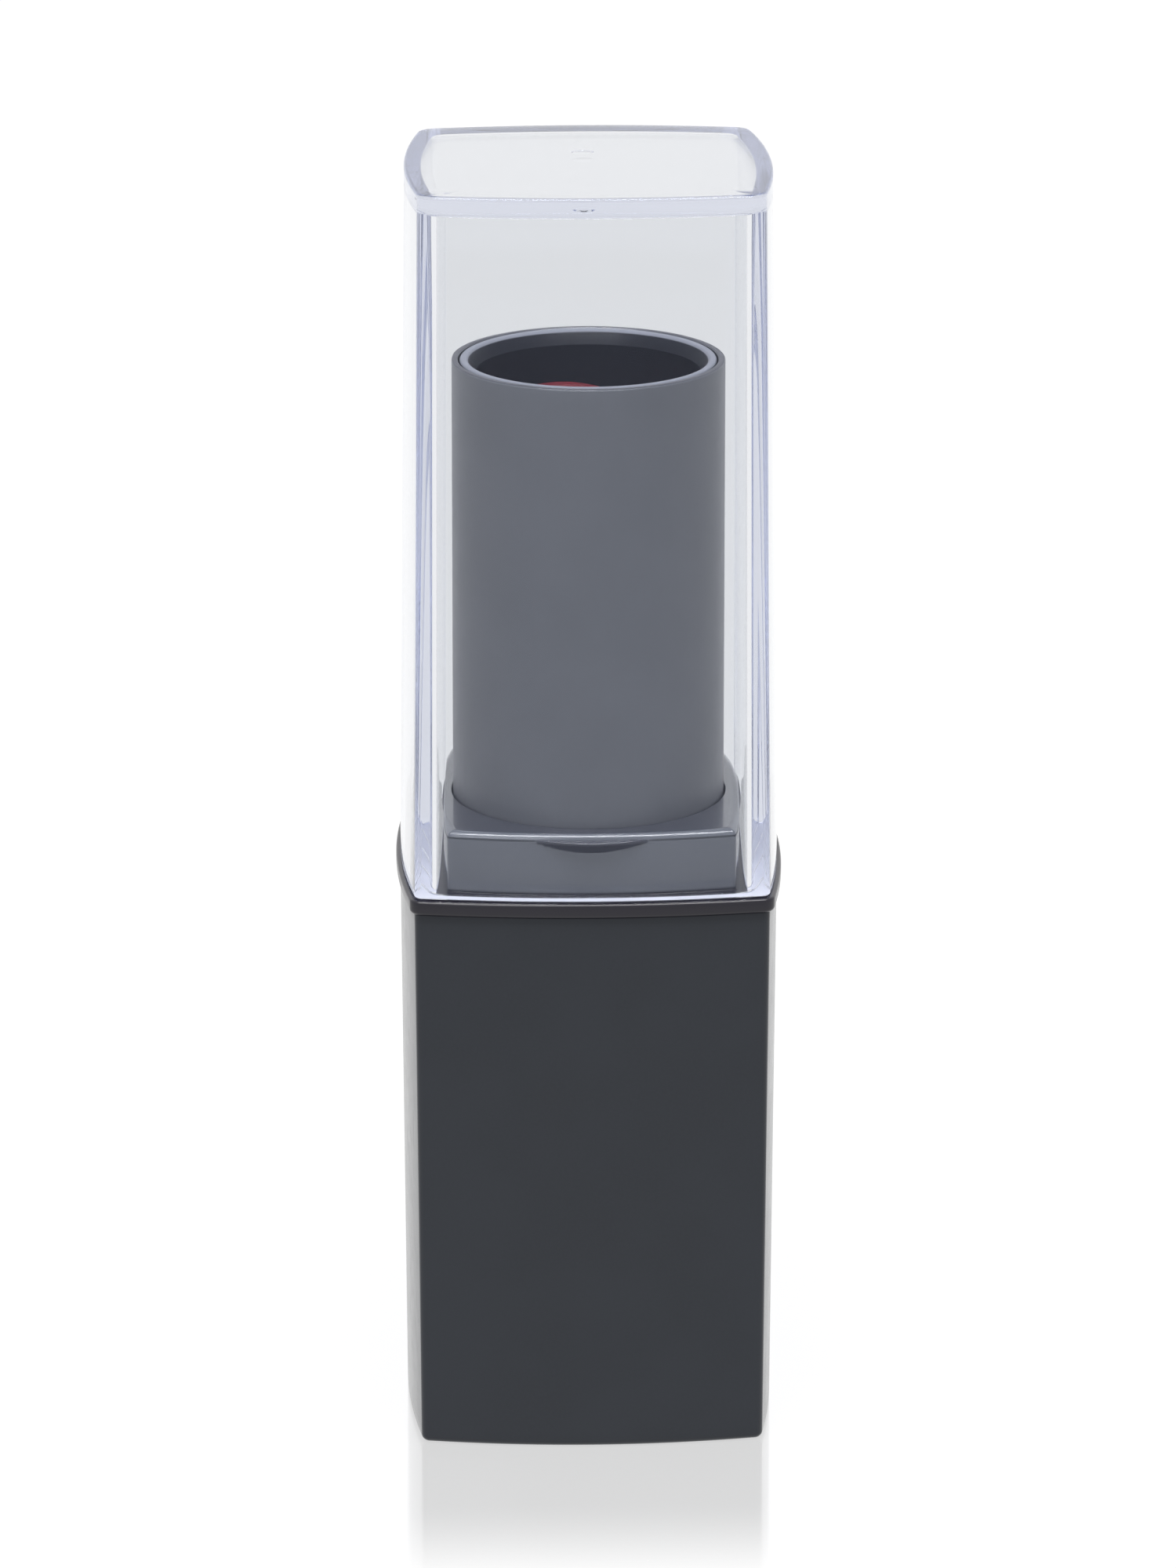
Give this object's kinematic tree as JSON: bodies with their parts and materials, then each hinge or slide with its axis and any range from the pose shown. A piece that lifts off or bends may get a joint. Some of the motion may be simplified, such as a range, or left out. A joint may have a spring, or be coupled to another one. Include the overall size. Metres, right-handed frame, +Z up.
{
  "type": "lipstick case",
  "caption": "Square lipstick case: dark bowed base, round twist-up tube that raises a slanted bullet, and a thick clear pull-off cap.",
  "frame": {"origin": "middle of the foot that the case stands on", "axes": "+Z up along the case towards the cap, +X and +Y square to the case's sides, the front side faces -Y"},
  "size_m": [0.023, 0.023, 0.0757],
  "materials": {
    "case_plastic": "satin",
    "core_plastic": "as moulded",
    "collar_plastic": "gloss",
    "mechanism_plastic": "satin",
    "silicone": "matte",
    "tube_plastic": "satin",
    "sleeve_plastic": "as moulded",
    "cup_plastic": "satin",
    "lipstick": "satin wax",
    "clear_plastic": "polished",
    "paper": "coated paper"
  },
  "bodies": {
    "base": {"base_shell": "case_plastic", "base_core": "core_plastic", "collar": "collar_plastic", "inner_tube": "mechanism_plastic", "brake_ring": "silicone", "shade_label": "paper"},
    "twist": {"twist_tube": "tube_plastic", "spiral_sleeve": "sleeve_plastic"},
    "carrier": {"bullet_cup": "cup_plastic", "bullet": "lipstick"},
    "cap": {"cap": "clear_plastic"}
  },
  "joints": [
    {"name": "tube_twist", "type": "hinge", "parent": "base", "child": "twist", "pos_m": [0, 0, 0.038], "axis": [0, 0, 1], "range_deg": [0, 420]},
    {"name": "cup_rise", "type": "slide", "parent": "base", "child": "carrier", "axis": [0, 0, 1], "range_m": [0, 0.01226]},
    {"name": "cap_lift", "type": "slide", "parent": "base", "child": "cap", "axis": [0, 0, 1], "range_m": [0, 0.045]}
  ],
  "couplings": [
    {"joint": "cup_rise", "follows": "tube_twist", "m_per_rad": 0.0016711}
  ]
}
